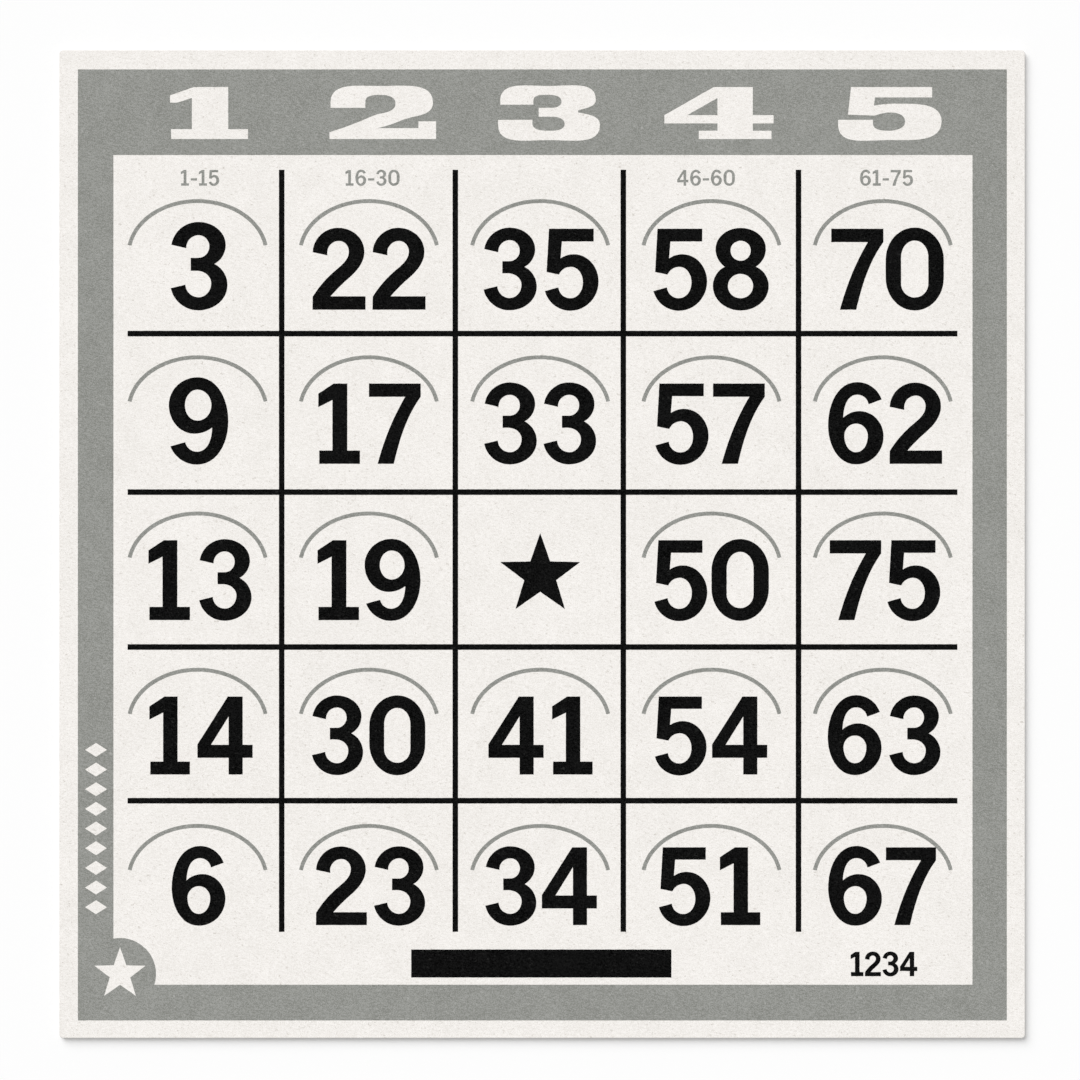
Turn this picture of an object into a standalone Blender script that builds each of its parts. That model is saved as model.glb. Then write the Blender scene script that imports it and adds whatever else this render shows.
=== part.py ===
"""A push-out bingo card of thick paperboard.

The card is one die-cut sheet, printed on its face and blank on its back. Over each number of its
grid a half-moon tab is cut along an arch. The tab stays joined to the sheet at its straight lower
edge, where the board itself bends: pushed out from behind, it folds forward and down over its
number, and it can be pressed back flush. The middle square is free and has no tab.

The card lies face up. X runs to the right, Y to the head of the card, and Z out of its face.
The origin is under the middle of the sheet, on the plane of its back.
"""

import math

import bmesh
import bpy

MM = 0.001

# The sheet
CARD_WIDTH = 140.0 * MM
CARD_LENGTH = 143.2 * MM
BOARD_THICKNESS = 0.8 * MM
CORNER_RADIUS = 0.5 * MM

# The field of squares on its face: equal squares fill what these margins leave of the sheet
COLUMNS = 5
ROWS = 5
LEFT_MARGIN = 7.6 * MM
RIGHT_MARGIN = 8.2 * MM
HEAD_MARGIN = 18.45 * MM
FOOT_MARGIN = 11.5 * MM
COLUMN_PITCH = (CARD_WIDTH - LEFT_MARGIN - RIGHT_MARGIN) / COLUMNS
ROW_PITCH = (CARD_LENGTH - HEAD_MARGIN - FOOT_MARGIN) / ROWS
FREE_COLUMN = 3
FREE_ROW = 3

# The arch of one tab, measured on the middle of its cut: part of an ellipse, stopped at the fold
# line a little above its widest place, so that the ends of the cut lean in by a few degrees
TAB_SPACING = 5.14 * MM
ARCH_WIDTH = COLUMN_PITCH - TAB_SPACING
ARCH_HEIGHT = 6.4 * MM
ARCH_BELOW_SQUARE_TOP = 3.39 * MM
ARCH_HALF_TURN = math.radians(80.5)
CUT_WIDTH = 0.25 * MM

# Flat stretches along one arch and round one corner of the sheet
ARCH_STEPS = 24
CORNER_STEPS = 4

# Points closer than this are one point, and edges sharper than this are drawn as corners
WELD_DISTANCE = 0.001 * MM
SHARP_ANGLE = math.radians(30)

BOARD_WHITE = (0.888, 0.863, 0.831, 1.0)
TAB_WHITE = (0.870, 0.848, 0.815, 1.0)
BOARD_ROUGHNESS = 0.85


def clear_scene():
    for leftover in list(bpy.data.objects):
        bpy.data.objects.remove(leftover)


def paperboard(name, colour):
    """The matt uncoated board, in this colour."""
    material = bpy.data.materials.new(name)
    material.use_nodes = True
    shader = material.node_tree.nodes["Principled BSDF"]
    shader.inputs["Base Color"].default_value = colour
    shader.inputs["Roughness"].default_value = BOARD_ROUGHNESS
    shader.inputs["Metallic"].default_value = 0.0
    material.diffuse_color = colour
    return material


def sheet_outline():
    """The edge of the card: a rectangle with slightly rounded corners, counter-clockwise."""
    inner_x = CARD_WIDTH / 2 - CORNER_RADIUS
    inner_y = CARD_LENGTH / 2 - CORNER_RADIUS
    points = []
    for quarter, (side_x, side_y) in enumerate(((1, 1), (-1, 1), (-1, -1), (1, -1))):
        for step in range(CORNER_STEPS + 1):
            turn = math.radians(90) * (quarter + step / CORNER_STEPS)
            x = side_x * inner_x + CORNER_RADIUS * math.cos(turn)
            y = side_y * inner_y + CORNER_RADIUS * math.sin(turn)
            points.append((x, y))
    return points


def half_moon(grown_by):
    """The arch of one tab, with its two ends on the fold line at y = 0.

    grown_by moves the arch outwards from the middle of the cut, or inwards where it is negative.
    """
    across = ARCH_WIDTH / 2 / math.sin(ARCH_HALF_TURN) + grown_by
    rise = ARCH_HEIGHT / (1 - math.cos(ARCH_HALF_TURN))
    centre_y = ARCH_HEIGHT - rise
    rise += grown_by
    end_turn = math.acos(-centre_y / rise)
    points = []
    for step in range(ARCH_STEPS + 1):
        turn = end_turn * (1 - 2 * step / ARCH_STEPS)
        points.append((across * math.sin(turn), centre_y + rise * math.cos(turn)))
    return points


def moved(outline, place):
    return [(x + place[0], y + place[1]) for x, y in outline]


def board_mesh(name, outlines, back_z):
    """A flat piece of board: the first outline is its edge, and the others are windows in it."""
    curve = bpy.data.curves.new(name, "CURVE")
    curve.dimensions = "2D"
    curve.fill_mode = "BOTH"
    curve.extrude = BOARD_THICKNESS / 2
    for outline in outlines:
        spline = curve.splines.new("POLY")
        spline.points.add(len(outline) - 1)
        for point, (x, y) in zip(spline.points, outline):
            point.co = (x, y, 0, 1)
        spline.use_cyclic_u = True
    pattern = bpy.data.objects.new(name, curve)
    bpy.context.scene.collection.objects.link(pattern)
    graph = bpy.context.evaluated_depsgraph_get()
    mesh = bpy.data.meshes.new_from_object(pattern.evaluated_get(graph))
    bpy.data.objects.remove(pattern)
    bpy.data.curves.remove(curve)

    work = bmesh.new()
    work.from_mesh(mesh)
    bmesh.ops.remove_doubles(work, verts=work.verts, dist=WELD_DISTANCE)
    bmesh.ops.translate(work, verts=work.verts, vec=(0, 0, back_z + BOARD_THICKNESS / 2))
    work.to_mesh(mesh)
    work.free()
    mesh.shade_smooth()
    mesh.set_sharp_from_angle(angle=SHARP_ANGLE)
    mesh.name = name
    return mesh


def tab_places():
    """Each tab's row and column, counted from the head and the left, and the middle of its fold line."""
    first_x = LEFT_MARGIN + COLUMN_PITCH / 2 - CARD_WIDTH / 2
    first_y = CARD_LENGTH / 2 - HEAD_MARGIN - ARCH_BELOW_SQUARE_TOP - ARCH_HEIGHT
    for row in range(1, ROWS + 1):
        for column in range(1, COLUMNS + 1):
            if (row, column) == (FREE_ROW, FREE_COLUMN):
                continue
            x = first_x + COLUMN_PITCH * (column - 1)
            y = first_y - ROW_PITCH * (row - 1)
            yield row, column, (x, y)


def add_piece(name, mesh, material, place, collection):
    piece = bpy.data.objects.new(name, mesh)
    if not mesh.materials:
        mesh.materials.append(material)
    piece.location = place
    collection.objects.link(piece)
    return piece


def build_card():
    card = bpy.data.collections.new("bingo_card")
    bpy.context.scene.collection.children.link(card)

    window = half_moon(CUT_WIDTH / 2)
    windows = [moved(window, place) for _, _, place in tab_places()]
    sheet = board_mesh("card_board", [sheet_outline()] + windows, back_z=0)
    add_piece("card_board", sheet, paperboard("card_board", BOARD_WHITE), (0, 0, 0), card)

    # Every tab is the same shape. Its origin is on its fold: the front edge of its straight side.
    tab = board_mesh("push_tab", [half_moon(-CUT_WIDTH / 2)], back_z=-BOARD_THICKNESS)
    tab_material = paperboard("push_tab", TAB_WHITE)
    for row, column, (x, y) in tab_places():
        name = f"push_tab_r{row}_c{column}"
        add_piece(name, tab, tab_material, (x, y, BOARD_THICKNESS), card)


clear_scene()
build_card()
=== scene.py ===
# %% [markdown]
# # A push-out bingo card
# The real card is one sheet of thick, uncoated paperboard, printed in grey and black and then
# die-cut. Over each number a knife has cut an arch, so that a fingertip can push out a half-moon
# tab and fold it down over the number. The solids of the frame already hold the sheet and its
# 24 tabs at their real size. This script gives them their looks: the board, its cut edges, the
# print, and the fold that joins each tab to the sheet.
#
# Shapes could be drawn in metres, as the frame is, but print is a matter of hundredths of a
# millimetre. So those of the card are drawn in millimetres, where such sizes are easy to read and
# far above the rounding of meshes, and scaled once, when they become an object.

import math

import bmesh
import bpy
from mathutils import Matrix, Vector, geometry, noise


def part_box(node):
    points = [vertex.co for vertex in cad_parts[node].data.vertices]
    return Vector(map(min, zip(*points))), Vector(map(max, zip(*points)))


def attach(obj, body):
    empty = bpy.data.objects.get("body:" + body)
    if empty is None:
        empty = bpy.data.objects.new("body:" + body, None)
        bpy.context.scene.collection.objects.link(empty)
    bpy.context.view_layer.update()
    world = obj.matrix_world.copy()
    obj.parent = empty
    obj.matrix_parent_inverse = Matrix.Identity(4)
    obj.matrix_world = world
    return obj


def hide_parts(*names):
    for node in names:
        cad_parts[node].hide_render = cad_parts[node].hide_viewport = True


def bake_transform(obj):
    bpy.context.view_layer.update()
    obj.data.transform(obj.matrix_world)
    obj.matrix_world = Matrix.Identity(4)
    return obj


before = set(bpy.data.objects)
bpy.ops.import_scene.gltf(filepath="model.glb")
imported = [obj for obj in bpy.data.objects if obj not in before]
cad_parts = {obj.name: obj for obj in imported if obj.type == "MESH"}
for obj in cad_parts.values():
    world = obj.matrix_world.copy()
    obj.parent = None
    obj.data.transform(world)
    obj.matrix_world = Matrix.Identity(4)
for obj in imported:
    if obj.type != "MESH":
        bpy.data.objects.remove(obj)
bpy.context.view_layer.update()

MM = 0.001

# %% [markdown]
# ## The sheet as the ruler
# Most places on the face are easiest to read off the photograph, where the sheet is seen straight
# from above. One scale turns them into millimetres: the width of the sheet in the frame over its
# width in pixels. The origin is the middle of the sheet, as it is in the frame.

# %% From a pixel of the photograph to a place on the face
PHOTO_SIDE = 1080
SHEET_LEFT_PX, SHEET_RIGHT_PX = 59.5, 1025.0
SHEET_TOP_PX, SHEET_FOOT_PX = 50.5, 1038.0

sheet_low, sheet_high = (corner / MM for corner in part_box("card_board"))
BACK = sheet_low.z
FACE = sheet_high.z
PIXEL = (sheet_high.x - sheet_low.x) / (SHEET_RIGHT_PX - SHEET_LEFT_PX)


def at(px, py):
    """The place of a pixel on the face of the card, in millimetres."""
    across = px - (SHEET_LEFT_PX + SHEET_RIGHT_PX) / 2
    down = py - (SHEET_TOP_PX + SHEET_FOOT_PX) / 2
    return across * PIXEL, -down * PIXEL


print(f"one pixel is {PIXEL:.4f} mm, and the board is {FACE - BACK:.2f} mm thick")

# %% [markdown]
# ## Materials
# Board and ink share one surface, because ink on uncoated board sinks in and keeps its tooth: fine
# grain, softer clouds, and a low bump from the fibres. An image of paper could do this too, but
# noise has no seams or edges, and on Object coordinates it runs on from the sheet into every tab.
# Nodes take many lines to add and link, so a small toolbox comes first.

# %% A small toolbox for shader nodes
class Finish:
    """One material with its nodes, made line by line."""

    def __init__(self, name, roughness, shine):
        self.material = bpy.data.materials.new(name)
        self.material.use_nodes = True
        self.nodes = self.material.node_tree.nodes
        self.links = self.material.node_tree.links
        self.shader = self.nodes["Principled BSDF"]
        self.shader.inputs["Roughness"].default_value = roughness
        self.shader.inputs["Specular IOR Level"].default_value = shine
        self.place = self.nodes.new("ShaderNodeTexCoord").outputs["Object"]

    def noise(self, size, detail=2.0, stretch=(1, 1, 1), turn=0, curl=0.0):
        """Noise with features of about this many millimetres, stretched along turned axes."""
        mapping = self.nodes.new("ShaderNodeMapping")
        mapping.vector_type = "TEXTURE"
        mapping.inputs["Scale"].default_value = [size * MM * share for share in stretch]
        mapping.inputs["Rotation"].default_value[2] = math.radians(turn)
        self.links.new(self.place, mapping.inputs["Vector"])
        texture = self.nodes.new("ShaderNodeTexNoise")
        texture.inputs["Scale"].default_value = 1.0
        texture.inputs["Detail"].default_value = detail
        texture.inputs["Distortion"].default_value = curl
        self.links.new(mapping.outputs["Vector"], texture.inputs["Vector"])
        return texture.outputs["Fac"]

    def remap(self, value, low, high, to_low=0.0, to_high=1.0):
        """The value stretched from one range to another, and held inside it."""
        node = self.nodes.new("ShaderNodeMapRange")
        node.inputs["From Min"].default_value = low
        node.inputs["From Max"].default_value = high
        node.inputs["To Min"].default_value = to_low
        node.inputs["To Max"].default_value = to_high
        self.links.new(value, node.inputs["Value"])
        return node.outputs["Result"]

    def maths(self, operation, first, second):
        """Two values combined: each is a number or the output of a node."""
        node = self.nodes.new("ShaderNodeMath")
        node.operation = operation
        for socket, value in zip(node.inputs, (first, second)):
            if isinstance(value, (int, float)):
                socket.default_value = value
            else:
                self.links.new(value, socket)
        return node.outputs["Value"]

    def mix(self, share, first, second):
        """A colour between two others: each is a colour or the output of a node."""
        node = self.nodes.new("ShaderNodeMix")
        node.data_type = "RGBA"
        self.links.new(share, node.inputs["Factor"])
        for name, value in (("A", first), ("B", second)):
            socket = [s for s in node.inputs if s.name == name and s.type == "RGBA"][0]
            if isinstance(value, tuple):
                socket.default_value = (*value, 1)
            else:
                self.links.new(value, socket)
        return [s for s in node.outputs if s.type == "RGBA"][0]

    def colour(self, colour):
        """The output of a node becomes the colour of the surface."""
        self.links.new(colour, self.shader.inputs["Base Color"])

    def bump(self, height, depth, strength):
        """Relief of this many millimetres, for a height of one."""
        node = self.nodes.new("ShaderNodeBump")
        node.inputs["Strength"].default_value = strength
        node.inputs["Distance"].default_value = depth * MM
        self.links.new(height, node.inputs["Height"])
        self.links.new(node.outputs["Normal"], self.shader.inputs["Normal"])


print("finishes read Object coordinates, in metres")

# %% [markdown]
# ## The tooth of the board
# Seen close, the board is never one even white. The felt of the paper machine leaves grain of one
# or two tenths of a millimetre, its fibres lie mostly one way, and the pulp has clouds of some
# millimetres and wider ones still. One noise with much detail would be simpler, but all its sizes
# are tied together. So each is a noise of its own, and together they are one share between a dark
# and a light tone.

# %% Grain, clouds and tooth
GRAIN_SIZE, GRAIN_SHARE = 0.13, 0.63
FIBRE_SIZE, FIBRE_SHARE = 0.28, 0.23
FIBRE_STRETCH, FIBRE_TURN = (2.2, 1, 1), -10
CLOUD_SIZE, CLOUD_SHARE, CLOUD_DETAIL = 3.5, 0.10, 3
WASH_SIZE, WASH_SHARE = 22.0, 0.04
NOISE_MIDDLE, TONE_REACH = 0.5, 0.1
FINE_TOOTH_SIZE, FINE_TOOTH_SHARE = GRAIN_SIZE * 1.3, 0.6
COARSE_TOOTH_SIZE, COARSE_TOOTH_SHARE = FIBRE_SIZE * 1.5, 0.4
TOOTH_DEPTH, TOOTH_STRENGTH = 0.012, 0.35


def tone_share(finish, contrast=1.0):
    """Grain and clouds together, as a share from 0 to 1."""
    fibres = finish.noise(FIBRE_SIZE, stretch=FIBRE_STRETCH, turn=FIBRE_TURN)
    grain = finish.maths("MULTIPLY", finish.noise(GRAIN_SIZE), GRAIN_SHARE)
    fibre = finish.maths("MULTIPLY", fibres, FIBRE_SHARE)
    cloud = finish.maths("MULTIPLY", finish.noise(CLOUD_SIZE, detail=CLOUD_DETAIL), CLOUD_SHARE)
    wash = finish.maths("MULTIPLY", finish.noise(WASH_SIZE), WASH_SHARE)
    fine = finish.maths("ADD", grain, fibre)
    soft = finish.maths("ADD", cloud, wash)
    reach = TONE_REACH / contrast
    return finish.remap(finish.maths("ADD", fine, soft), NOISE_MIDDLE - reach, NOISE_MIDDLE + reach)


def add_tooth(finish):
    """The low relief that the felt leaves in the board."""
    fine = finish.maths("MULTIPLY", finish.noise(FINE_TOOTH_SIZE), FINE_TOOTH_SHARE)
    coarse = finish.maths("MULTIPLY", finish.noise(COARSE_TOOTH_SIZE), COARSE_TOOTH_SHARE)
    finish.bump(finish.maths("ADD", fine, coarse), TOOTH_DEPTH, TOOTH_STRENGTH)


print(f"grain of {GRAIN_SIZE} mm, clouds of {CLOUD_SIZE} mm")

# %% [markdown]
# ## Stray fibres
# A few fibres lie apart from the rest. On the bare board they are darker, and in the inks they are
# lighter, because ink missed them. Each would be tedious to draw as a hair of its own. A curled
# noise has thin worms where it is highest, so a share taken only from its top gives such fibres.

# %% Short fibres of another tone
STRAY_SIZE = 0.26
STRAY_STRETCH, STRAY_CURL, STRAY_DETAIL = (1.7, 1, 1), 1.2, 1
STRAY_FROM, STRAY_TO = 0.63, 0.76


def with_stray_fibres(finish, tones, fibre_colour):
    """The tones with short curled fibres of another colour here and there."""
    worms = finish.noise(STRAY_SIZE, STRAY_DETAIL, STRAY_STRETCH, FIBRE_TURN, STRAY_CURL)
    return finish.mix(finish.remap(worms, STRAY_FROM, STRAY_TO), tones, fibre_colour)


print(f"stray fibres of {STRAY_SIZE * STRAY_STRETCH[0]:.2f} mm")

# %% [markdown]
# ## The white board
# Bare board shows between the print and all over the back: an off-white with those stray fibres
# and, now and then, a dark fleck in the pulp. Flecks could be strewn as tiny pieces, but they lie
# in the board and not on it. A cell texture has one point in each of its cells in space. The few
# points that lie near a face of the board become flecks there, and noise makes their edges ragged.

# %% The white board, with stray fibres and a few dark flecks
BOARD_DARK, BOARD_LIGHT = (0.803, 0.774, 0.734), (0.987, 0.958, 0.927)
BOARD_STRAY, FLECK_BROWN = (0.67, 0.635, 0.59), (0.30, 0.26, 0.22)
FLECK_SPACING = 5.0
FLECK_RADIUS = 0.045  # as a share of the spacing
FLECK_SMALLEST, FLECK_COVER = 0.3, 0.5
NOISE_LOW, NOISE_HIGH = 0.3, 0.7


def make_board():
    finish = Finish("board_white", roughness=0.9, shine=0.2)
    tones = finish.mix(tone_share(finish), BOARD_DARK, BOARD_LIGHT)
    tones = with_stray_fibres(finish, tones, BOARD_STRAY)
    mapping = finish.nodes.new("ShaderNodeMapping")
    mapping.inputs["Scale"].default_value = [1 / (FLECK_SPACING * MM)] * 3
    finish.links.new(finish.place, mapping.inputs["Vector"])
    cells = finish.nodes.new("ShaderNodeTexVoronoi")
    cells.inputs["Scale"].default_value = 1.0
    finish.links.new(mapping.outputs["Vector"], cells.inputs["Vector"])
    ragged = finish.remap(finish.noise(FIBRE_SIZE), NOISE_LOW, NOISE_HIGH, FLECK_SMALLEST, 1.0)
    reach = finish.maths("MULTIPLY", ragged, FLECK_RADIUS)
    inside = finish.maths("SUBTRACT", reach, cells.outputs["Distance"])
    fleck = finish.remap(inside, 0.0, FLECK_RADIUS / 2, 0.0, FLECK_COVER)
    finish.colour(finish.mix(fleck, tones, FLECK_BROWN))
    add_tooth(finish)
    return finish.material


board_white = make_board()
print("made", board_white.name)

# %% [markdown]
# ## The cut edge
# Where the knife went through, the board shows its inside. It is made of many thin layers of pulp,
# so its grain is drawn out along the sheet and is very short across it. Stretching the noise does
# that, where rows of modelled layers would be far too fine to see. The photograph doesn't show
# this side, so its tone is that of common board: a little greyer than the face.

# %% The cut edge of the board
LAYER_LENGTH, LAYER_DETAIL = 0.9, 3
LAYER_FLATNESS = 0.07  # a layer's thickness as a share of its length
LAYER_DEPTH, LAYER_STRENGTH = TOOTH_DEPTH * 2, 0.35
CUT_DARK, CUT_LIGHT = (0.53, 0.50, 0.46), (0.72, 0.695, 0.655)


def make_cut_edge():
    finish = Finish("board_cut_edge", roughness=0.95, shine=0.1)
    layers = finish.noise(LAYER_LENGTH, LAYER_DETAIL, stretch=(1, 1, LAYER_FLATNESS))
    share = finish.remap(layers, NOISE_LOW, NOISE_HIGH)
    finish.colour(finish.mix(share, CUT_DARK, CUT_LIGHT))
    finish.bump(layers, LAYER_DEPTH, LAYER_STRENGTH)
    return finish.material


board_cut_edge = make_cut_edge()
print("made", board_cut_edge.name)

# %% [markdown]
# ## Two inks
# The grey is a flat tint that the board's tooth shows through as fine mottle. The black lies
# thicker, but it is cloudy too where the board drank more of it. Both are matt. A plain colour
# would do for a poster, but here it would look pasted on, so each ink is the board's own surface
# between two darker tones, with a third tone for the stray fibres.

# %% Grey and black ink
INK_ROUGHNESS = 0.85
GREY_TONES = (0.213, 0.217, 0.197), (0.371, 0.375, 0.355), (0.42, 0.42, 0.40)
BLACK_TONES = (0.0, 0.0, 0.0), (0.0095, 0.0095, 0.0095), (0.0235, 0.0235, 0.0225)


def make_ink(name, dark, light, stray, shine, contrast=1.0):
    """An ink between a dark and a light tone, with stray fibres of a third."""
    finish = Finish(name, INK_ROUGHNESS, shine)
    tones = finish.mix(tone_share(finish, contrast), dark, light)
    finish.colour(with_stray_fibres(finish, tones, stray))
    add_tooth(finish)
    return finish.material


grey_ink = make_ink("grey_ink", *GREY_TONES, shine=0.12)
black_ink = make_ink("black_ink", *BLACK_TONES, shine=0.02, contrast=1.35)
print("made", grey_ink.name, "and", black_ink.name)

# %% [markdown]
# ## Flat shapes
# Everything on this card is flat: the sheet, the tabs and the print. So every shape starts as
# closed outlines, and the area between them is filled with triangles. Each outline that one
# crosses on the way in from outside turns solid into hole and hole into solid again. A 2D curve
# can be filled too, but it loses its way along ragged outlines with thousands of points.

# %% Filling the area between outlines
INSIDE_ONLY = 1  # leaves out the triangles that lie outside every outline
WELD = 0.0001


def filled(outlines):
    """A flat bmesh of the area between closed outlines, which are lists of (x, y)."""
    corners, sides = [], []
    for outline in outlines:
        first, count = len(corners), len(outline)
        corners += [Vector(point) for point in outline]
        sides += [(first + number, first + (number + 1) % count) for number in range(count)]
    net = geometry.delaunay_2d_cdt(corners, sides, [], INSIDE_ONLY, WELD)
    points, edges, triangles, sources = net[0], net[1], net[2], net[4]
    shape = bmesh.new()
    verts = [shape.verts.new((point.x, point.y, 0)) for point in points]
    for triangle in triangles:
        shape.faces.new([verts[number] for number in triangle])
    drawn_edges = {frozenset(edge) for edge, source in zip(edges, sources) if source}
    shape.verts.index_update()
    solid = {face: True for face in shape.faces if any(edge.is_boundary for edge in face.edges)}
    waiting = list(solid)
    while waiting:
        face = waiting.pop()
        for edge in face.edges:
            crossing = frozenset(vert.index for vert in edge.verts) in drawn_edges
            for neighbour in edge.link_faces:
                if neighbour not in solid:
                    solid[neighbour] = solid[face] != crossing
                    waiting.append(neighbour)
    bmesh.ops.delete(shape, geom=[face for face in solid if not solid[face]], context="FACES")
    return shape


print("points closer than", WELD, "mm are filled as one")

# %% [markdown]
# ## Thickness
# The board is 0.8 mm thick, and even ink has a thickness. A Solidify modifier could add it, but
# here the two heights matter more than the distance between them. So the flat shape is put at the
# upper one and extruded to the lower one, which also closes it all round. The ink is a film that
# stands about a hundredth of a millimetre proud and is sunk as deep, so it never fights with the
# board for the same plane. The black stands a little higher, because it lies thicker.

# %% Board and ink get their thickness
INK_SUNK = 0.01
GREY_PROUD, BLACK_PROUD = 0.008, 0.012


def thicken(shape, top, bottom):
    """Turns a flat shape into a closed one between two heights."""
    bmesh.ops.translate(shape, verts=shape.verts, vec=(0, 0, top))
    grown = bmesh.ops.extrude_face_region(shape, geom=shape.faces[:])
    lowered = [item for item in grown["geom"] if isinstance(item, bmesh.types.BMVert)]
    bmesh.ops.translate(shape, verts=lowered, vec=(0, 0, bottom - top))
    bmesh.ops.recalc_face_normals(shape, faces=shape.faces)
    return shape


def film(shape, proud):
    """A film of ink that stands this far proud of the face."""
    return thicken(shape, FACE + proud, FACE - INK_SUNK)


print(f"the black film is {BLACK_PROUD + INK_SUNK:.3f} mm thick")

# %% [markdown]
# ## From shapes to a piece
# A piece has one name and moves as one, though it may be made of several shapes: a tab is board,
# half a grey line and the heads of figures. Each could be an object of its own, but then nothing
# would keep them together in the bend. So one mesh takes them all in. Every face gets the finish of
# the flats or of the walls by how far it slopes, and here the millimetres become metres.

# %% Shapes become one object
WALL_SLOPE, FLAT_SLOPE = 0.05, 0.98
SHARP_ANGLE = math.radians(30)


def added(name, data):
    """A new object with this data, added to the scene."""
    item = bpy.data.objects.new(name, data)
    bpy.context.scene.collection.objects.link(item)
    return item


def make_piece(name, parts, bends=False):
    """One object from parts, each a shape with the finish of its flat faces and of its walls."""
    mesh = bpy.data.meshes.new(name)
    whole = bmesh.new()
    for shape, flat, wall in parts:
        for finish in (flat, wall):
            if finish.name not in mesh.materials:
                mesh.materials.append(finish)
        shape.normal_update()
        for face in shape.faces:
            slope = abs(face.normal.z)
            finish = flat if slope > FLAT_SLOPE else wall
            face.material_index = mesh.materials.find(finish.name)
            face.smooth = bends or WALL_SLOPE < slope < FLAT_SLOPE
        part = bpy.data.meshes.new("part")
        shape.to_mesh(part)
        shape.free()
        whole.from_mesh(part)
        bpy.data.meshes.remove(part)
    bmesh.ops.scale(whole, verts=whole.verts, vec=(MM, MM, MM))
    whole.to_mesh(mesh)
    whole.free()
    if bends:
        mesh.set_sharp_from_angle(angle=SHARP_ANGLE)
    return added(name, mesh)


print("shapes are drawn in millimetres and scaled by", MM)

# %% [markdown]
# ## Outlines with an inked edge
# Ink does not stop at a ruled line. The press squeezes it past the edge of the type, so figures
# print a little bolder than they are cut. And along every edge it creeps a hundredth or two of a
# millimetre into one fibre and stays short of the next. A texture can't move an outline. So those
# of the print get a point every fifth of a millimetre, and noise moves each point a little. The
# knife's own lines stay clean.

# %% Points along an outline, and the squeeze and the creep of the ink
EDGE_STEP = 0.2
CREEP = 0.022
CREEP_SIZE = 0.45
OTHER_SLICE = Vector((0, 0, 40))
SHORTEST_STRETCH = 0.001


def grown(outline, amount):
    """The outline moved outwards by this much at every point, or inwards where it is negative."""
    befores, afters = outline[-1:] + outline[:-1], outline[1:] + outline[:1]
    area = sum(here[0] * after[1] - after[0] * here[1] for here, after in zip(outline, afters))
    moved = []
    for before, here, after in zip(befores, outline, afters):
        arriving = (Vector(here) - Vector(before)).normalized()
        leaving = (Vector(after) - Vector(here)).normalized()
        mitre = Vector((arriving.y + leaving.y, -arriving.x - leaving.x)) / (1 + arriving.dot(leaving))
        moved.append(tuple(Vector(here) + mitre * math.copysign(amount, amount * area)))
    return moved


def spaced(outline, step=EDGE_STEP):
    """The outline with points at even distances along each of its stretches."""
    points = []
    for start, end in zip(outline, outline[1:] + outline[:1]):
        length = math.dist(start, end)
        if length < SHORTEST_STRETCH:
            continue
        count = max(1, round(length / step))
        for number in range(count):
            share = number / count
            points.append((start[0] + (end[0] - start[0]) * share, start[1] + (end[1] - start[1]) * share))
    return points


def crept(points):
    """The points, each moved a little as ink creeps along the fibres."""
    moved = []
    for x, y in points:
        place = Vector((x, y, 0)) / CREEP_SIZE
        along, up = noise.noise(place), noise.noise(place + OTHER_SLICE)
        moved.append((x + along * CREEP, y + up * CREEP))
    return moved


def inked(outline):
    """The outline with the ragged edge of ink."""
    return crept(spaced(outline))


def box_of(left, top, right, foot):
    """A rectangle between pixels of the photograph."""
    return [at(left, top), at(right, top), at(right, foot), at(left, foot)]


print(f"the ink creeps up to {CREEP} mm")

# %% [markdown]
# ## The arch that the knife cuts
# The cut is part of an ellipse, stopped at the fold line a little above its widest place. The
# solids leave a gap of a quarter of a millimetre round each tab so that they can turn freely. A
# knife leaves no such gap: it parts the board and takes nothing out. So the arch is read from the
# solid of one tab, grown to the middle of that gap, and the slit drawn here is a hundredth wide.

# %% The arch, and the shape of a tab with its fold
SOLIDS_GAP = 0.25
KNIFE_SLIT = 0.01
ARCH_HALF_TURN = math.radians(80.5)
ARCH_STEPS = 56
FOLD_REACH = 0.5

tab_names = sorted(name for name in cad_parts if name.startswith("push_tab"))
tab_low, tab_high = (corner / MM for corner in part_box(tab_names[0]))
arch_width = tab_high.x - tab_low.x + SOLIDS_GAP
arch_height = tab_high.y - tab_low.y + SOLIDS_GAP / 2
arch_across = arch_width / 2 / math.sin(ARCH_HALF_TURN)
arch_rise = arch_height / (1 - math.cos(ARCH_HALF_TURN))
arch_middle = arch_height - arch_rise


def arch(offset, steps=ARCH_STEPS):
    """The arch from its right foot to its left, moved outwards by offset. The fold line is y = 0."""
    points = []
    for step in range(steps + 1):
        turn = ARCH_HALF_TURN * (1 - 2 * step / steps)
        out = Vector((arch_rise * math.sin(turn), arch_across * math.cos(turn))).normalized() * offset
        along, up = arch_across * math.sin(turn), arch_middle + arch_rise * math.cos(turn)
        points.append((along + out.x, up + out.y))
    return points


def moon(offset):
    """A tab's half-moon with the board that bends below it, moved outwards by offset."""
    right = arch(offset)[0][0]
    return [(right, -FOLD_REACH)] + arch(offset) + [(-right, -FOLD_REACH)]


def fold_of(name):
    """The middle of a tab's fold line."""
    low, high = (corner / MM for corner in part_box(name))
    return Vector(((low.x + high.x) / 2, low.y))


def placed(outline, place):
    """The outline moved from the origin to this place."""
    return [(x + place.x, y + place.y) for x, y in outline]


print(f"{len(tab_names)} arches, {arch_width:.2f} mm wide and {arch_height:.2f} mm high")

# %% [markdown]
# ## Marks of the knife
# The die leaves two small marks on the board. It rounds the outer edges a little, on both faces.
# And on the back the board bursts slightly along each arch, which shows as a fine groove. Bump in
# the material could hint at them, but a real edge catches the light from every side. So both are
# bevels, as wide as a fibre or two, on edges that are found by where they lie.

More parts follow.
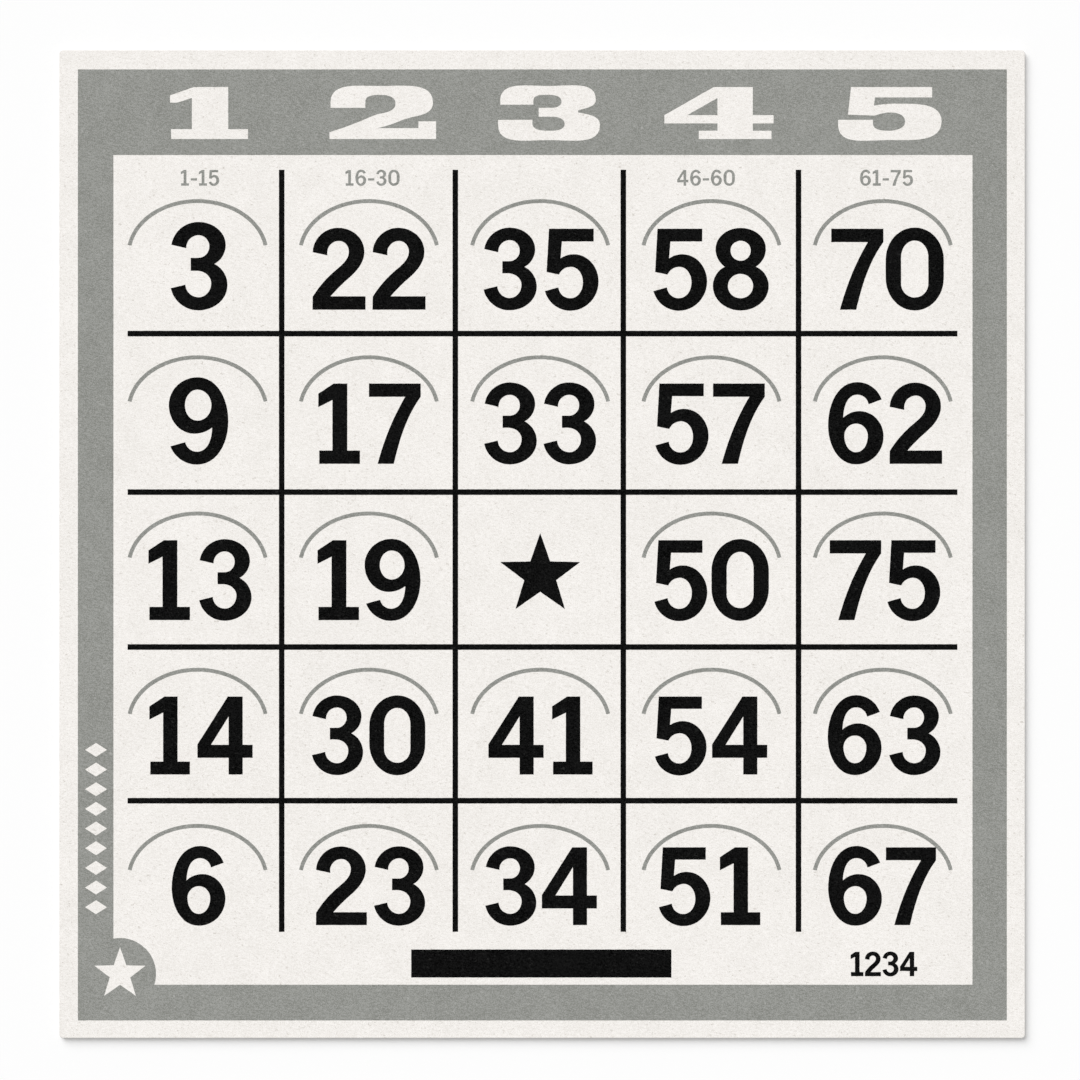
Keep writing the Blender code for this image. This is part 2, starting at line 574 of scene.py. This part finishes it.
# %% Edges at a height, and a bevel for them
EDGE_ROUNDING, EDGE_SEGMENTS = 0.05, 3
BACK_GROOVE, GROOVE_SEGMENTS = 0.04, 1
LEVEL_WITHIN = 0.001
RIM_WALL, RIM_FLAT = 0.1, 0.9
BORDER_WIDTH = 1
LONGEST_ARCH_STEP = 1.0


def rim(shape, height, wanted):
    """The edges at this height between a flat face and a wall, where wanted(middle, length) is true."""
    edges = []
    for edge in shape.edges:
        level = all(abs(vert.co.z - height) < LEVEL_WITHIN for vert in edge.verts)
        slopes = sorted(abs(face.normal.z) for face in edge.link_faces)
        if not level or slopes[0] > RIM_WALL or slopes[1] < RIM_FLAT:
            continue
        middle = (edge.verts[0].co + edge.verts[1].co) / 2
        if wanted(middle, edge.calc_length()):
            edges.append(edge)
    return edges


def soften(shape, edges, width, segments):
    """Bevels these edges by this width."""
    bmesh.ops.bevel(
        shape, geom=edges, offset=width, offset_type="OFFSET", segments=segments,
        profile=0.5, affect="EDGES", material=-1,
    )
    shape.normal_update()


def at_border(middle, length):
    """Whether an edge runs along the border of the sheet."""
    return abs(middle.x) > sheet_high.x - BORDER_WIDTH or abs(middle.y) > sheet_high.y - BORDER_WIDTH


def on_arch(middle, length):
    """Whether an edge is a short step of a cut, and not the long one where a tab joins the sheet."""
    return length < LONGEST_ARCH_STEP and not at_border(middle, length)


print(f"rims are rounded by {EDGE_ROUNDING} mm, and grooves are {BACK_GROOVE} mm deep")

# %% [markdown]
# ## The sheet
# The sheet is one rectangle with four slightly rounded corners and 24 windows, given the thickness
# of the board. A modifier could cut the windows out of it, but drawn as outlines they are exact
# and leave no stray edges. Its walls get the finish of the cut edge.

# %% The sheet with its windows
SHEET_CORNER = 0.5
CORNER_STEPS = 8


def sheet_outline():
    """The border of the sheet, quarter turn by quarter turn."""
    inner_x, inner_y = sheet_high.x - SHEET_CORNER, sheet_high.y - SHEET_CORNER
    points = []
    for quarter, (side_x, side_y) in enumerate(((1, 1), (-1, 1), (-1, -1), (1, -1))):
        for step in range(CORNER_STEPS + 1):
            turn = math.radians(90) * (quarter + step / CORNER_STEPS)
            x = side_x * inner_x + SHEET_CORNER * math.cos(turn)
            points.append((x, side_y * inner_y + SHEET_CORNER * math.sin(turn)))
    return points


windows = [placed(moon(KNIFE_SLIT / 2), fold_of(name)) for name in tab_names]
sheet_shape = thicken(filled([sheet_outline()] + windows), FACE, BACK)
sheet_shape.normal_update()
for height in (FACE, BACK):
    soften(sheet_shape, rim(sheet_shape, height, at_border), EDGE_ROUNDING, EDGE_SEGMENTS)
soften(sheet_shape, rim(sheet_shape, BACK, on_arch), BACK_GROOVE, GROOVE_SEGMENTS)
card_sheet = make_piece("card_sheet", [(sheet_shape, board_white, board_cut_edge)])
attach(card_sheet, "card")
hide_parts("card_board")
print("card_sheet has", len(card_sheet.data.polygons), "faces")

# %% [markdown]
# ## Numerals
# Each numeral is a closed outline of a few points, in shares of its height. A point with two
# numbers is a corner. A third number is the direction in which the outline passes through, in
# degrees, and then the stretch is a curve. Four numbers give the direction before and after a
# corner. A font could write these numbers too, but these heavy, narrow figures are drawn after
# the ones on the card, and the font in Blender looks quite different.

# %% The figures of the numbers
FIGURES = {
    "0": [
        [(0.003, 0.39, 90), (0.003, 0.62, 90), (0.36, 1.015, 0), (0.717, 0.62, 270),
         (0.717, 0.39, 270), (0.36, -0.01, 180)],
        [(0.183, 0.32, 90), (0.183, 0.65, 90), (0.36, 0.865, 0), (0.536, 0.65, 270),
         (0.536, 0.32, 270), (0.36, 0.14, 180)],
    ],
    "1": [
        [(0, 0.875), (0.19, 1), (0.353, 1), (0.353, 0.155), (0.513, 0.155), (0.513, 0), (0.012, 0),
         (0.012, 0.155), (0.178, 0.155), (0.178, 0.808), (0, 0.718)],
    ],
    "2": [
        [(0.002, 0.718), (0.315, 1.012, 0), (0.636, 0.72, 270), (0.45, 0.4, 221), (0.205, 0.155),
         (0.65, 0.155), (0.65, 0), (0, 0), (0.002, 0.153), (0.25, 0.45, 42), (0.454, 0.721, 90),
         (0.325, 0.86, 180), (0.174, 0.681)],
    ],
    "3": [
        [(0.011, 0.757), (0.318, 1.014, 0), (0.633, 0.749, 270), (0.494, 0.529), (0.654, 0.282, 270),
         (0.318, -0.008, 180), (0.004, 0.241), (0.163, 0.28), (0.322, 0.134, 0), (0.475, 0.304, 90),
         (0.299, 0.455, 180), (0.236, 0.455), (0.236, 0.594), (0.318, 0.594, 0), (0.453, 0.733, 90),
         (0.322, 0.87, 180), (0.173, 0.72)],
    ],
    "4": [
        [(0.392, 1), (0.575, 1), (0.575, 0.373), (0.704, 0.373), (0.704, 0.217), (0.575, 0.217),
         (0.575, 0), (0.405, 0), (0.405, 0.217), (0, 0.217), (0, 0.383)],
        [(0.405, 0.77), (0.405, 0.373), (0.159, 0.373)],
    ],
    "5": [
        [(0.052, 1), (0.599, 1), (0.599, 0.853), (0.202, 0.853), (0.184, 0.622), (0.357, 0.681, 0),
         (0.66, 0.348, 270), (0.313, -0.013, 180), (0.003, 0.222), (0.159, 0.265), (0.313, 0.131, 0),
         (0.477, 0.335, 90), (0.319, 0.536, 180), (0.168, 0.44), (0.023, 0.47)],
    ],
    "6": [
        [(0.002, 0.479, 90), (0.364, 1.018, 0), (0.664, 0.809), (0.511, 0.753), (0.364, 0.872, 180),
         (0.181, 0.56, 270, None), (0.392, 0.652, 0), (0.689, 0.34, 270), (0.348, -0.008, 180)],
        [(0.194, 0.35, 90), (0.35, 0.507, 0), (0.503, 0.345, 270), (0.348, 0.134, 180)],
    ],
    "7": [
        [(0, 1), (0.64, 1), (0.64, 0.841, None, 234), (0.302, 0, 257, None), (0.111, 0, None, 75),
         (0.462, 0.845, 59, None), (0, 0.845)],
    ],
    "8": [
        [(0.037, 0.75, 90), (0.344, 1.01, 0), (0.653, 0.757, 270), (0.522, 0.53), (0.689, 0.29, 270),
         (0.344, -0.01, 180), (0.003, 0.29, 90), (0.159, 0.53)],
        [(0.211, 0.734, 90), (0.345, 0.862, 0), (0.476, 0.734, 270), (0.345, 0.599, 180)],
        [(0.179, 0.29, 90), (0.342, 0.448, 0), (0.506, 0.29, 270), (0.342, 0.131, 180)],
    ],
    "9": [
        [(0.001, 0.691, 90), (0.337, 1.018, 0), (0.697, 0.5, 270), (0.331, -0.01, 180),
         (0.021, 0.198), (0.187, 0.244), (0.331, 0.132, 0), (0.517, 0.438, 90, None),
         (0.298, 0.358, 180)],
        [(0.181, 0.691, 90), (0.337, 0.882, 0), (0.507, 0.691, 270), (0.337, 0.502, 180)],
    ],
    "-": [[(0, 0.33), (0.4, 0.33), (0.4, 0.47), (0, 0.47)]],
}
print("figures:", " ".join(FIGURES))

# %% [markdown]
# ## Smooth stretches
# A stretch between two points is one cubic curve. Handles could be written down for each, but they
# follow from the two directions: a well known rule makes them as long as a round curve needs, so
# that a quarter turn comes out as nearly a quarter of an ellipse. Where only one end has a
# direction, the other mirrors it.

# %% From points to smooth outlines
CURVE_STEPS = 12


def reach(own, other):
    """The length of a handle as a share of its chord, from the turns at both ends."""
    lift = (math.sin(own) - math.sin(other) / 16) * (math.sin(other) - math.sin(own) / 16)
    lift = 2 + math.sqrt(2) * lift * (math.cos(own) - math.cos(other))
    spread = 1 + (math.sqrt(5) - 1) / 2 * math.cos(own) + (3 - math.sqrt(5)) / 2 * math.cos(other)
    return lift / (3 * spread)


def pointing(angle):
    """The direction of this angle, one long."""
    return Vector((math.cos(angle), math.sin(angle)))


def stretch(start, finish):
    """The points from start up to finish, along a straight line or a curve."""
    here, there = Vector(start[:2]), Vector(finish[:2])
    leaving = start[-1] if len(start) > 2 else None
    arriving = finish[2] if len(finish) > 2 else None
    if leaving is None and arriving is None:
        return [here]
    chord = there - here
    along = math.atan2(chord.y, chord.x)
    turns = []
    for heading in (leaving, arriving):
        if heading is None:
            turns.append(None)
        else:
            turns.append(math.remainder(math.radians(heading) - along, math.tau))
    out = turns[0] if turns[0] is not None else -turns[1]
    back = turns[1] if turns[1] is not None else -turns[0]
    first = here + pointing(along + out) * chord.length * reach(out, -back)
    last = there - pointing(along + back) * chord.length * reach(-back, out)
    return geometry.interpolate_bezier(here, first, last, there, CURVE_STEPS + 1)[:-1]


def drawn(points):
    """The closed outline through these points, as (x, y) in shares of the height."""
    outline = []
    for start, finish in zip(points, points[1:] + points[:1]):
        outline += [tuple(point) for point in stretch(start, finish)]
    return outline


print("a 3 has", len(drawn(FIGURES["3"][0])), "points before the ink creeps")

# %% [markdown]
# ## Setting a number
# The figures of a number stand side by side on one foot line, as type is set. One gap for all of
# them would be simpler, but on the card it differs from pair to pair, so each number brings its
# own. The squeeze of the ink grows the outline of a figure and shrinks the holes in it.

# %% A number, set and inked
def written(text, centre, foot, height, gap, squeeze=0.0, figures=FIGURES):
    """The outlines of a number. Its places and sizes are in pixels, and its squeeze is in mm."""
    signs = [[drawn(points) for points in figures[sign]] for sign in text]
    widths = [max(x for outline in sign for x, y in outline) * height for sign in signs]
    left = centre - (sum(widths) + gap * (len(text) - 1)) / 2
    outlines = []
    for sign, width in zip(signs, widths):
        for number, outline in enumerate(sign):
            edge = [at(left + x * height, foot - y * height) for x, y in outline]
            outlines.append(inked(grown(edge, -squeeze if number else squeeze)))
        left += width + gap
    return outlines


sample = written("10", centre=0, foot=0, height=80, gap=8)
print("a 10 has", len(sample), "outlines, with", sum(map(len, sample)), "points")

# %% [markdown]
# ## Numbers on two pieces
# The knife cuts the tab after printing, right through the number: the heads of its figures are on
# the tab and move with it, the rest stays on the sheet. They could be drawn apart, but would hardly
# meet without a seam. So each number is filled once and then parted along the lower end of the
# fold, where the board begins to bend. The table gives each number with its middle and its gap.

# %% Every number, parted between its tab and the sheet
ROW_HEAD_PX = (229.2, 384.0, 540.7, 697.0, 847.8)
ROW_FOOT_PX = (309.2, 463.3, 619.6, 774.0, 924.6)
NUMBERS = (
    (("3", 199, 0), ("22", 369, 8), ("35", 541, 9), ("58", 711, 6.5), ("70", 887.5, 3)),
    (("9", 198.5, 0), ("17", 369.5, 10), ("33", 540, 7.5), ("57", 710, 5.5), ("62", 885, 7)),
    (("13", 200, 10), ("19", 369, 6.5), None, ("50", 711.5, 5), ("75", 885, 7)),
    (("14", 201, 8.5), ("30", 368.5, 7), ("41", 540.5, 9.5), ("54", 711, 6.5), ("63", 884, 8.5)),
    (("6", 198.5, 0), ("23", 370.5, 8), ("34", 541, 6.5), ("51", 709.5, 10.5), ("67", 882, 5)),
)
LARGER = {"3": 1.07, "9": 1.06}
NUMBER_SQUEEZE = 0.07
SNAP = 0.002


def cut_along(shape, height, keep):
    """Cuts a shape along this y, and keeps what lies above it, below it or both."""
    bmesh.ops.bisect_plane(
        shape, geom=shape.verts[:] + shape.edges[:] + shape.faces[:], dist=SNAP,
        plane_co=(0, height, 0), plane_no=(0, 1, 0),
        clear_inner=keep == "above", clear_outer=keep == "below",
    )
    return shape


def number_shape(row, column):
    """The number of one square, as a flat shape."""
    text, centre, gap = NUMBERS[row - 1][column - 1]
    height = (ROW_FOOT_PX[row - 1] - ROW_HEAD_PX[row - 1]) * LARGER.get(text, 1)
    return filled(written(text, centre, ROW_FOOT_PX[row - 1], height, gap, NUMBER_SQUEEZE))


heads, rests = {}, []
for name in tab_names:
    row, column = int(name[-4]), int(name[-1])  # as in push_tab_r1_c1
    seam = fold_of(name).y - FOLD_REACH
    whole = number_shape(row, column)
    heads[name] = cut_along(whole.copy(), seam, "above")
    rests.append(cut_along(whole, seam, "below"))
print(len(heads), "numbers parted")

# %% [markdown]
# ## Tabs made for bending
# A tab is one piece with its strip of board across the fold, the heads of its figures and the inner
# half of the grey line, so that all of them can bend as one. The strip reaches half a millimetre to
# both sides of the fold line. A hinge between two stiff pieces would be simpler, but it would show
# a gap. Flat faces would bend as one stiff plate, so rows of edges are cut across the fold.

# %% One tab, and then all of them
FOLD_ROWS = 12
LINE_WIDTH = 3.9 * PIXEL
LINE_STEPS = ARCH_STEPS * 3
CLEAR_OF_CUT = KNIFE_SLIT / 2 + 0.003


def half_line(near, far):
    """Half of the grey line along the cut: its near edge is cut clean and its far edge is ink."""
    return arch(near) + list(reversed(crept(arch(far, LINE_STEPS))))


def with_fold_rows(shape, fold):
    """The shape with level rows of edges over the reach of the fold."""
    for row in range(1, FOLD_ROWS):
        height = fold.y - FOLD_REACH + 2 * FOLD_REACH * row / FOLD_ROWS
        cut_along(shape, height, "both")
    return shape


for name in tab_names:
    fold = fold_of(name)
    body = thicken(filled([placed(moon(-KNIFE_SLIT / 2), fold)]), FACE, BACK)
    body.normal_update()
    soften(body, rim(body, BACK, on_arch), BACK_GROOVE, GROOVE_SEGMENTS)
    line = film(filled([placed(half_line(-CLEAR_OF_CUT, -LINE_WIDTH / 2), fold)]), GREY_PROUD)
    head = film(heads[name], BLACK_PROUD)
    parts = ((body, board_white, board_cut_edge), (line, grey_ink, grey_ink), (head, black_ink, black_ink))
    parts = [(with_fold_rows(shape, fold), flat, wall) for shape, flat, wall in parts]
    tab = make_piece("bending_" + name, parts, bends=True)
    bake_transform(tab)
    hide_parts(name)
print("each tab bends over", 2 * FOLD_REACH, "mm")

# %% [markdown]
# ## Print that stays on the sheet
# The rest of the print never moves. It could be one piece, or a picture wrapped on the sheet. But
# a few pieces, one for each part of the design, can be found by their names and repainted.

# %% Pieces of print, first the lower parts of the numbers and the grey arches
def print_piece(name, shapes, ink, proud):
    """A piece of print that rides on the sheet."""
    piece = make_piece(name, [(film(shape, proud), ink, ink) for shape in shapes])
    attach(piece, "card")
    return piece


print_piece("print_numbers", rests, black_ink, BLACK_PROUD)
outer_lines = [placed(half_line(CLEAR_OF_CUT, LINE_WIDTH / 2), fold_of(name)) for name in tab_names]
print_piece("print_arches", [filled([outline]) for outline in outer_lines], grey_ink, GREY_PROUD)
print("the outer halves of", len(outer_lines), "grey lines lie on the sheet")

# %% [markdown]
# ## The grid
# Four lines each way part the squares. Drawn as eight bars they would lie inside each other where
# they cross, so they are one outline that runs round all their ends, with nine square holes.

# %% The grid lines
UPRIGHT_PX, UPRIGHT_WIDTH = (281.7, 455.3, 623.3, 798.5), 5.5
LEVEL_PX, LEVEL_WIDTH = (333.6, 492.1, 647.0, 800.7), 5.6
GRID_LEFT, GRID_RIGHT, GRID_HEAD, GRID_FOOT = 127.6, 957.4, 169.7, 931.8


def grid_outlines():
    """The outline round all the lines, and the nine holes between them."""
    sides = [(x - UPRIGHT_WIDTH / 2, x + UPRIGHT_WIDTH / 2) for x in UPRIGHT_PX]
    levels = [(y - LEVEL_WIDTH / 2, y + LEVEL_WIDTH / 2) for y in LEVEL_PX]
    round_it = []
    for left, right in sides:
        round_it += [(left, levels[0][0]), (left, GRID_HEAD), (right, GRID_HEAD), (right, levels[0][0])]
    for upper, lower in levels:
        round_it += [(sides[-1][1], upper), (GRID_RIGHT, upper), (GRID_RIGHT, lower), (sides[-1][1], lower)]
    for left, right in reversed(sides):
        round_it += [(right, levels[-1][1]), (right, GRID_FOOT), (left, GRID_FOOT), (left, levels[-1][1])]
    for upper, lower in reversed(levels):
        round_it += [(sides[0][0], lower), (GRID_LEFT, lower), (GRID_LEFT, upper), (sides[0][0], upper)]
    outlines = [[at(x, y) for x, y in round_it]]
    for (_, left), (right, _) in zip(sides, sides[1:]):
        for (_, upper), (lower, _) in zip(levels, levels[1:]):
            outlines.append(box_of(left, upper, right, lower))
    return outlines


grid_shape = filled([inked(outline) for outline in grid_outlines()])
print_piece("print_grid_lines", [grid_shape], black_ink, BLACK_PROUD)
print("grid lines:", len(UPRIGHT_PX), "upright and", len(LEVEL_PX), "level")

# %% [markdown]
# ## Plain signs
# Wide figures head the five columns, a star fills the free square in the middle, and the frame
# carries a chain of lozenges and a second star. Such signs could come from a font, but the wide
# figures are drawn from the same kind of points as the numbers, which keeps their heavy slabs. A
# star and a lozenge need no more than a middle and a size.

# %% Wide figures, stars and lozenges
WIDE_FIGURES = {
    "1": [
        [(0, 0.7), (0, 0.84), (0.46, 1), (1.12, 1), (1.12, 0.19), (1.5, 0.19), (1.5, 0), (0.02, 0),
         (0.02, 0.19), (0.42, 0.19), (0.42, 0.79), (0.14, 0.7)],
    ],
    "2": [
        [(0.05, 0.6), (0.05, 0.71, 90), (1.02, 1.02, 0), (2.02, 0.7, 270), (1.42, 0.36, 203),
         (0.95, 0.21), (1.74, 0.21), (1.74, 0.34), (2.08, 0.34), (2.08, 0), (0.03, 0), (0.03, 0.13),
         (0.85, 0.44, 24), (1.3, 0.69, 90), (1.02, 0.85, 180), (0.72, 0.72, 270), (0.72, 0.6)],
    ],
    "3": [
        [(0.06, 0.66), (0.06, 0.74, 90), (1.0, 1.02, 0), (1.9, 0.76, 270),
         (1.56, 0.55, 200, None), (1.56, 0.51, None, 350), (1.98, 0.27, 270), (1.0, -0.02, 180),
         (0.02, 0.27, 90), (0.02, 0.37), (0.68, 0.37), (0.68, 0.3, 270), (1.0, 0.16, 0),
         (1.3, 0.29, 90), (1.05, 0.43, 180), (0.8, 0.43), (0.8, 0.6), (1.05, 0.6, 0),
         (1.24, 0.72, 90), (1.0, 0.85, 180), (0.7, 0.74, 270), (0.7, 0.66)],
    ],
    "4": [
        [(0.95, 1), (1.7, 1), (1.7, 0.46), (2.1, 0.46), (2.1, 0.3), (1.7, 0.3), (1.7, 0.16),
         (2.06, 0.16), (2.06, 0), (0.66, 0), (0.66, 0.16), (1.02, 0.16), (1.02, 0.3), (0, 0.3),
         (0, 0.46)],
        [(1.02, 0.79), (1.02, 0.46), (0.44, 0.46)],
    ],
    "5": [
        [(0.28, 1), (1.84, 1), (1.84, 0.8), (0.74, 0.8), (0.72, 0.64), (1.12, 0.68, 0),
         (2.02, 0.34, 270), (1.02, -0.02, 180), (0.03, 0.27, 90), (0.03, 0.37), (0.7, 0.37),
         (0.7, 0.3, 270), (1.0, 0.16, 0), (1.32, 0.34, 90), (1.04, 0.51, 180), (0.74, 0.45),
         (0.22, 0.47)],
    ],
}
STAR_POINTS, STAR_WAIST = 5, 0.40


def star(x, y, radius):
    """A star round a pixel, with its first point up."""
    points = []
    for corner in range(2 * STAR_POINTS):
        turn = math.radians(90 + 180 * corner / STAR_POINTS)
        size = radius * (STAR_WAIST if corner % 2 else 1)
        points.append(at(x + size * math.cos(turn), y - size * math.sin(turn)))
    return points


def lozenge(x, y, wide, high):
    """A lozenge round a pixel."""
    return [at(x, y - high / 2), at(x + wide / 2, y), at(x, y + high / 2), at(x - wide / 2, y)]


print("a star has", len(star(0, 0, 1)), "corners")

# %% [markdown]
# ## The grey frame
# The frame is one tint with everything light left out of it: the opening for the grid, and the
# signs. White signs on top of the grey would look the same from above, but on the card they are
# bare board, so they are holes. In one corner the frame swells into a disc, so the opening's
# outline is a rectangle whose corner follows the disc instead.

# %% The frame with its openings
FRAME_LEFT, FRAME_HEAD, FRAME_RIGHT, FRAME_FOOT = 77.9, 69.4, 1006.8, 1020.4
OPENING_LEFT, OPENING_HEAD, OPENING_RIGHT, OPENING_FOOT = 113.4, 155.0, 972.5, 984.7
DISC_X, DISC_Y, DISC_RADIUS = 120, 974, 36
DISC_STEPS = 60
CORNER_STAR = 27
HEADER_X, HEADER_FOOT, HEADER_HEIGHT = (209, 382, 548.5, 719, 889), 139, 52
CHAIN_X, CHAIN_HEAD, CHAIN_FOOT = 96, 740, 917
CHAIN_LINKS, LINK_WIDE, LINK_HIGH = 9, 22, 14


def opening():
    """The frame's opening, with the disc biting into its lower left corner."""
    on_left = math.pi - math.acos((DISC_X - OPENING_LEFT) / DISC_RADIUS)
    on_foot = -math.asin((OPENING_FOOT - DISC_Y) / DISC_RADIUS)
    points = box_of(OPENING_LEFT, OPENING_HEAD, OPENING_RIGHT, OPENING_FOOT)[:3]
    for step in range(DISC_STEPS + 1):
        turn = on_foot + (on_left - on_foot) * step / DISC_STEPS
        points.append(at(DISC_X + DISC_RADIUS * math.cos(turn), DISC_Y - DISC_RADIUS * math.sin(turn)))
    return points


frame_outlines = [
    inked(box_of(FRAME_LEFT, FRAME_HEAD, FRAME_RIGHT, FRAME_FOOT)),
    inked(opening()),
    inked(star(DISC_X, DISC_Y, CORNER_STAR)),
]
for number, x in enumerate(HEADER_X, start=1):
    frame_outlines += written(
        str(number), x, HEADER_FOOT, HEADER_HEIGHT, gap=0, figures=WIDE_FIGURES,
    )
for link in range(CHAIN_LINKS):
    y = CHAIN_HEAD + (CHAIN_FOOT - CHAIN_HEAD) * (link + 0.5) / CHAIN_LINKS
    frame_outlines.append(inked(lozenge(CHAIN_X, y, LINK_WIDE, LINK_HIGH)))
print_piece("print_frame", [filled(frame_outlines)], grey_ink, GREY_PROUD)
print("the frame has", len(frame_outlines), "outlines")

# %% [markdown]
# ## Small print
# Under the header stands the number range of each column in small grey figures, except over the
# middle column, which is bare. At the foot are a plain black bar and a small number. All of it
# could be a picture, but with the same helpers small print gets the same edges as large print.

# %% Captions, the middle star, the bar and the card's number
CAPTIONS = ((200, "1-15"), (372.5, "16-30"), (706, "46-60"), (886.5, "61-75"))
CAPTION_FOOT, CAPTION_HEIGHT, CAPTION_GAP = 185.7, 15.8, 1.8
MIDDLE_X, MIDDLE_Y, MIDDLE_STAR = 540.2, 575, 42
BAR_LEFT, BAR_HEAD, BAR_RIGHT, BAR_FOOT = 411.2, 949.5, 671.4, 977.5
CARD_NUMBER, CARD_NUMBER_X, CARD_NUMBER_FOOT = "1234", 884, 976
CARD_NUMBER_HEIGHT, CARD_NUMBER_GAP, CARD_NUMBER_SQUEEZE = 24, 1.9, 0.03

captions = []
for x, text in CAPTIONS:
    captions += written(text, x, CAPTION_FOOT, CAPTION_HEIGHT, CAPTION_GAP)
print_piece("print_captions", [filled(captions)], grey_ink, GREY_PROUD)

middle_star = filled([inked(star(MIDDLE_X, MIDDLE_Y, MIDDLE_STAR))])
print_piece("print_middle_star", [middle_star], black_ink, BLACK_PROUD)
bar = filled([inked(box_of(BAR_LEFT, BAR_HEAD, BAR_RIGHT, BAR_FOOT))])
print_piece("print_foot_bar", [bar], black_ink, BLACK_PROUD)
card_number = written(
    CARD_NUMBER, CARD_NUMBER_X, CARD_NUMBER_FOOT,
    CARD_NUMBER_HEIGHT, CARD_NUMBER_GAP, CARD_NUMBER_SQUEEZE,
)
print_piece("print_card_number", [filled(card_number)], black_ink, BLACK_PROUD)
print("small print has", len(captions) + len(card_number), "outlines")

# %% [markdown]
# ## The table top
# The card lies on a white table, which a photographer lets run up to pure white. A stronger light
# would whiten it too, but it would bleach the card with it. So the table is almost white and glows
# by a few hundredths more, and only for rays that look at it: from the camera, off a glossy surface
# or through a clear one. The light that falls on the card stays as it is.

# %% The table
TABLE_SIZE = 4.0
TABLE_BELOW = 0.02
TABLE_WHITE, TABLE_GLOW = 0.93, 0.055
WHITE = (1, 1, 1, 1)


def looking_rays(nodes, links):
    """One for a ray that looks at a surface, and zero for a ray that gathers its light."""
    light_path = nodes.new("ShaderNodeLightPath")
    looking = light_path.outputs["Is Camera Ray"]
    for kind in ("Is Glossy Ray", "Is Transmission Ray"):
        either = nodes.new("ShaderNodeMath")
        either.operation = "MAXIMUM"
        links.new(looking, either.inputs[0])
        links.new(light_path.outputs[kind], either.inputs[1])
        looking = either.outputs["Value"]
    return looking


def make_table():
    """A wide square under the card."""
    shape = bmesh.new()
    bmesh.ops.create_grid(shape, x_segments=1, y_segments=1, size=TABLE_SIZE / 2)
    bmesh.ops.translate(shape, verts=shape.verts, vec=(0, 0, (BACK - TABLE_BELOW) * MM))
    mesh = bpy.data.meshes.new("table_top")
    shape.to_mesh(mesh)
    shape.free()
    finish = Finish("table_white", roughness=1.0, shine=0.0)
    finish.shader.inputs["Base Color"].default_value = (TABLE_WHITE, TABLE_WHITE, TABLE_WHITE, 1)
    finish.shader.inputs["Emission Color"].default_value = WHITE
    glow = finish.maths("MULTIPLY", looking_rays(finish.nodes, finish.links), TABLE_GLOW)
    finish.links.new(glow, finish.shader.inputs["Emission Strength"])
    mesh.materials.append(finish.material)
    return added("table_top", mesh)


make_table()
print("the table is", TABLE_SIZE, "m wide")

# %% [markdown]
# ## The light
# The card was photographed under wide soft light from the upper left, with a soft narrow shadow
# along its right and lower edges. An area lamp could give that, but it falls off across the card.
# A wide sun gives the light its direction everywhere alike, and the world gives the rest. To the
# same looking rays as above the world is plain white.

# %% Sun and world
SUN_STRENGTH, SUN_WIDTH = 2.65, 50
SUN_TILT_DOWN, SUN_TILT_RIGHT = 45, 36
WORLD_STRENGTH, WORLD_SEEN = 0.47, 1.0

sun = added("studio_sun", bpy.data.lights.new("studio_sun", "SUN"))
sun.data.energy = SUN_STRENGTH
sun.data.angle = math.radians(SUN_WIDTH)
sun_path = Vector((math.tan(math.radians(SUN_TILT_RIGHT)), -math.tan(math.radians(SUN_TILT_DOWN)), -1))
sun.rotation_euler = sun_path.to_track_quat("-Z", "Y").to_euler()

world = bpy.data.worlds.new("studio")
bpy.context.scene.world = world
world.use_nodes = True
sky = world.node_tree.nodes["Background"]
sky.inputs["Color"].default_value = WHITE
looking = looking_rays(world.node_tree.nodes, world.node_tree.links)
brightness = world.node_tree.nodes.new("ShaderNodeMapRange")
brightness.inputs["To Min"].default_value = WORLD_STRENGTH
brightness.inputs["To Max"].default_value = WORLD_SEEN
world.node_tree.links.new(looking, brightness.inputs["Value"])
world.node_tree.links.new(brightness.outputs["Result"], sky.inputs["Strength"])
bpy.context.scene.view_settings.view_transform = "Standard"
print("sun of", SUN_STRENGTH, "and world of", WORLD_STRENGTH)

# %% [markdown]
# ## The camera
# It hangs straight over the card with a long lens, at the height from which its frame is as wide
# as the photograph's: the whole picture's pixels times the size of one pixel on the face. A flat
# projection would show nearly the same, but it was a lens that took the photograph.

# %% Straight above, with a long lens
LENS, SENSOR = 120.0, 36.0
CLIP_START = 0.01

camera = added("camera", bpy.data.cameras.new("camera"))
camera.data.lens = LENS
camera.data.sensor_width = SENSOR
above_x, above_y = at(PHOTO_SIDE / 2, PHOTO_SIDE / 2)
above_card = FACE + PHOTO_SIDE * PIXEL * LENS / SENSOR
camera.location = Vector((above_x, above_y, above_card)) * MM
camera.data.clip_start = CLIP_START
bpy.context.scene.camera = camera
print(f"the camera hangs {above_card:.0f} mm above the table")
